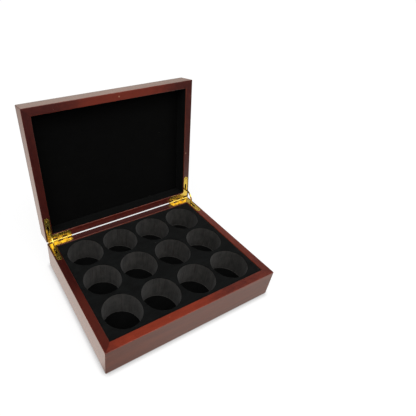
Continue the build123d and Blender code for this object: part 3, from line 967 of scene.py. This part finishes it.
class BOX_OT_stage(bpy.types.Operator):
    """Set the camera at the photograph's angle over a plain floor in soft studio light"""

    bl_idname = "display_box.stage"
    bl_label = "Stage"

    def execute(self, context):
        scene = context.scene
        scene.view_settings.view_transform = "Standard"
        self.place_camera(scene)

        mesh = bpy.data.meshes.new("studio_floor")
        reach = 40.0
        corners = [(-reach, -reach, 0), (reach, -reach, 0), (reach, reach, 0), (-reach, reach, 0)]
        mesh.from_pydata(corners, [], [(0, 1, 2, 3)])
        mesh.materials.append(white_floor())
        floor = bpy.data.objects.new("studio_floor", mesh)
        scene.collection.objects.link(floor)

        self.make_world(scene)
        soft_light("left_light", place=(-0.9, -0.35, 1.3), size=(0.9, 0.9), power=9)
        soft_light("front_light", place=(0.2, -1.0, 1.3), size=(2.2, 1.3), power=19)
        return {"FINISHED"}

    @staticmethod
    def place_camera(scene):
        """The photograph's camera: it looks down and to the right, turned a little about its own axis."""
        heading, elevation, roll = math.radians(29.28), math.radians(37.71), math.radians(1.42)
        place = (-0.18364, -0.24624, 0.34851)
        data = bpy.data.cameras.new("camera")
        data.sensor_width = 36.0
        data.lens = 30.61
        data.shift_x = 0.1997
        data.clip_start = 0.01
        data.clip_end = 100.0
        camera = bpy.data.objects.new("camera", data)
        scene.collection.objects.link(camera)
        turn = (Matrix.Rotation(-heading, 4, "Z") @ Matrix.Rotation(math.pi / 2 - elevation, 4, "X")
                @ Matrix.Rotation(roll, 4, "Z"))
        camera.matrix_world = Matrix.Translation(place) @ turn
        scene.camera = camera

    @staticmethod
    def make_world(scene):
        """The studio round the box, by the direction that is looked in: right, rear and up, from -1 to 1.

        A white sweep near the horizon is dimmer at the right, overhead and above all at the front. A bright
        band stands above the right. Reflections also see a lit ceiling over the front, and all that they see
        is a little warm. The camera sees plain white.
        """
        world = bpy.data.worlds.new("studio")
        scene.world = world
        world.use_nodes = True
        world.node_tree.nodes.clear()
        add = partial(add_node, world)
        right, rear, up = add("SeparateXYZ", {0: add("TexCoord").outputs["Generated"]}).outputs
        horizon = add("MapRange", {
            "Value": right, "From Min": 0.4, "From Max": 0.6, "To Min": 0.75, "To Max": 0.6,
        })
        height = add("MapRange", {
            "Value": up, "From Min": 0.25, "From Max": 0.5,
        }, interpolation_type="SMOOTHSTEP")
        overhead_strength = 0.136
        sweep = add("Mix", {FACTOR: height, NUMBER_A: horizon, NUMBER_B: overhead_strength})
        front_to_rear = add("MapRange", {
            "Value": rear, "From Min": -0.6, "From Max": 0.4, "To Min": 0.15, "To Max": 1.0,
        })
        strength = add("Math", {0: sweep, 1: front_to_rear}, operation="MULTIPLY")
        band_height = 0.58
        from_band = add("Math", {0: up, 1: band_height}, operation="SUBTRACT")
        band = add("MapRange", {
            "Value": add("Math", {0: from_band}, operation="ABSOLUTE"),
            "From Min": 0.07, "From Max": 0.02, "To Max": 0.64,
        }, interpolation_type="SMOOTHSTEP")
        at_right = add("MapRange", {"Value": right, "From Min": 0.35, "From Max": 0.55})
        band = add("Math", {0: band, 1: at_right}, operation="MULTIPLY")
        strength = add("Math", {0: strength, 1: band}, operation="ADD")
        ray = add("LightPath")
        ceiling = add("MapRange", {"Value": rear, "From Min": -0.1, "From Max": -0.5, "To Max": 0.64})
        overhead = add("MapRange", {"Value": up, "From Min": 0.3, "From Max": 0.6})
        ceiling = add("Math", {0: ceiling, 1: overhead}, operation="MULTIPLY")
        ceiling = add("Math", {0: ceiling, 1: ray.outputs["Is Glossy Ray"]}, operation="MULTIPLY")
        strength = add("Math", {0: strength, 1: ceiling}, operation="MAXIMUM")
        strength = add("Mix", {FACTOR: ray.outputs["Is Camera Ray"], NUMBER_A: strength, NUMBER_B: 1.0})
        tint = add("Mix", {
            FACTOR: ray.outputs["Is Glossy Ray"], COLOUR_A: WHITE, COLOUR_B: linear("#FFF5E8"),
        }, data_type="RGBA")
        add("OutputWorld", {"Surface": add("Background", {"Color": tint, "Strength": strength})})


# The add-on

STEPS = (BOX_OT_stage, BOX_OT_foam_insert, BOX_OT_velvet_cover, BOX_OT_base_linings, BOX_OT_lid_linings,
         BOX_OT_wood, BOX_OT_hardware)


class BOX_PT_panel(bpy.types.Panel):
    """Lists the steps and the values that they use"""

    bl_idname = "BOX_PT_panel"
    bl_label = "Display Box"
    bl_space_type = "VIEW_3D"
    bl_region_type = "UI"
    bl_category = "Display Box"

    def draw(self, context):
        for step in STEPS:
            self.layout.operator(step.bl_idname)
        for group in (context.scene.box_sizes, context.scene.box_colours):
            for name in group.bl_rna.properties.keys():
                if name not in ("rna_type", "name"):
                    self.layout.prop(group, name)


CLASSES = (BoxSizes, BoxColours, *STEPS, BOX_PT_panel)


def register():
    """Add the classes and the two groups of values to Blender."""
    for each in CLASSES:
        bpy.utils.register_class(each)
    bpy.types.Scene.box_sizes = PointerProperty(type=BoxSizes)
    bpy.types.Scene.box_colours = PointerProperty(type=BoxColours)


def unregister():
    """Take them away again."""
    del bpy.types.Scene.box_colours
    del bpy.types.Scene.box_sizes
    for each in reversed(CLASSES):
        bpy.utils.unregister_class(each)


def main():
    """Make everything in order."""
    register()
    for step in STEPS:
        group, name = step.bl_idname.split(".")
        getattr(getattr(bpy.ops, group), name)()


if __name__ == "__main__":
    main()
